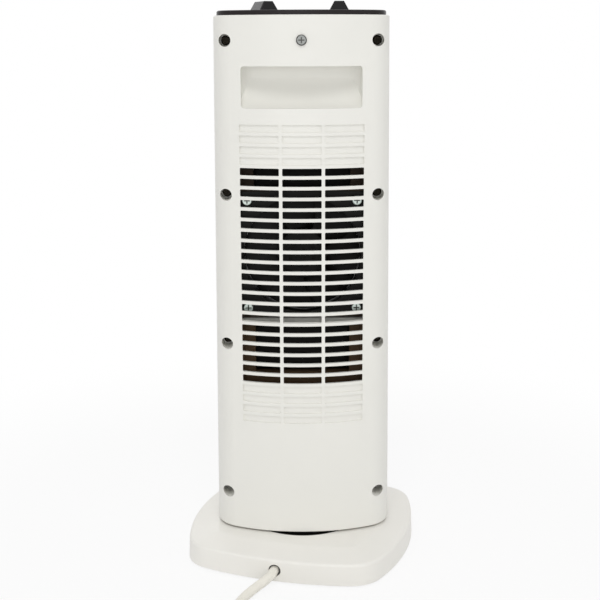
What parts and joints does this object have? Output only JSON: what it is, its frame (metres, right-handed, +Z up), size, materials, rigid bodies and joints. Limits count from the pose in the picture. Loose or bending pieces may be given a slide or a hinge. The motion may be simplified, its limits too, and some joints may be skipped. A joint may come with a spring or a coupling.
{
  "type": "ceramic heater",
  "caption": "Upright ceramic fan heater tower with a slotted back inlet, handle pocket, control knobs and a front outlet grille, on a flat base that it swings on.",
  "frame": {"origin": "middle of the base on the floor, on the swing axis", "axes": "+Z up, -Y towards the front outlet grille, +Y towards the back with the inlet and handle pocket"},
  "size_m": [0.2059, 0.3576, 0.4523],
  "materials": {
    "casing_white": "satin, fine grain",
    "base_white": "satin, fine grain",
    "panel_dark": "semi-gloss",
    "knob_black": "gloss",
    "grille_grey": "satin",
    "fan_black": "matte",
    "duct_brown": "matte, heat-proof",
    "pivot_black": "matte, low friction",
    "screw_dark": "black oxide",
    "screw_steel": "bright zinc",
    "steel": "plain",
    "aluminium": "plain",
    "ceramic": "matte",
    "brass_tabs": "plain",
    "switch_dark": "matte",
    "terminal_cream": "matte",
    "lamp_red": "clear gloss",
    "button_white": "gloss",
    "cord_white": "satin",
    "rubber_grey": "matte",
    "wire_insulation": "satin",
    "copper": "plain",
    "pivot_cream": "matte, low friction"
  },
  "bodies": {
    "base": {"base_cover": "base_white", "base_plate": "base_white", "base_screws": "screw_steel", "rubber_feet": "rubber_grey", "pivot_ring": "pivot_black", "cord_grommet": "rubber_grey", "cord_clamp": "pivot_cream", "clamp_screws": "screw_steel", "inner_lead": "cord_white", "swing_motor": "steel", "swing_motor_screws": "screw_steel", "power_cord": "cord_white", "cord_coil": "cord_white", "plug_lead": "cord_white", "plug_body": "cord_white", "plug_pins": "screw_steel"},
    "crank": {"crank_arm": "pivot_cream", "crank_roller": "steel"},
    "tower": {"rear_cover": "casing_white", "front_cover": "casing_white", "front_grille": "grille_grey", "cover_screws": "screw_dark", "panel_screw": "screw_steel", "top_panel": "panel_dark", "foot_plate": "pivot_cream", "foot_plate_screws": "screw_steel", "spigot_retainer": "pivot_cream", "retainer_screws": "screw_steel", "terminal_block": "terminal_cream", "tip_over_switch": "switch_dark", "tower_lead": "cord_white", "wiring": "wire_insulation", "fan_frame": "fan_black", "fan_stator": "copper", "fan_screws": "screw_steel", "inlet_baffles": "duct_brown", "air_duct": "duct_brown", "duct_screws": "screw_steel", "element_fins": "aluminium", "element_bars": "aluminium", "element_stones": "ceramic", "element_ends": "ceramic", "element_tabs": "brass_tabs", "thermal_cutout": "steel", "thermal_fuse": "ceramic", "mode_switch": "switch_dark", "thermostat": "switch_dark", "swing_switch": "switch_dark", "pilot_lamp": "lamp_red"},
    "fan": {"fan_rotor": "fan_black", "fan_shaft": "steel"},
    "mode_dial": {"mode_knob": "knob_black", "mode_spindle": "steel"},
    "thermostat_dial": {"thermostat_knob": "knob_black", "thermostat_spindle": "steel"},
    "swing_key": {"swing_button": "button_white"}
  },
  "joints": [
    {"name": "swing", "type": "hinge", "parent": "base", "child": "tower", "pos_m": [0, 0, 0.022], "axis": [0, 0, 1], "range_deg": [-45.5, 14.5]},
    {"name": "crank_turn", "type": "hinge", "parent": "base", "child": "crank", "pos_m": [-0.00909, -0.03276, 0.015], "axis": [0, 0, 1], "range_deg": [-150.5, 48.2]},
    {"name": "fan_spin", "type": "hinge", "parent": "tower", "child": "fan", "pos_m": [0, 0.0155, 0.2554], "axis": [0, 1, 0], "continuous": true},
    {"name": "mode_turn", "type": "hinge", "parent": "tower", "child": "mode_dial", "pos_m": [-0.0295, 0, 0.4425], "axis": [0, 0, 1], "range_deg": [-135, 0]},
    {"name": "thermostat_turn", "type": "hinge", "parent": "tower", "child": "thermostat_dial", "pos_m": [0.0295, 0, 0.4425], "axis": [0, 0, 1], "range_deg": [-200, 70]},
    {"name": "swing_press", "type": "slide", "parent": "tower", "child": "swing_key", "axis": [0, 0, -1], "range_m": [0, 0.0025], "stiffness_N_per_m": 400, "springref_m": -0.001}
  ],
  "couplings": [
    {"joint": "crank_turn", "follows": "swing", "ratio": 3.3}
  ]
}
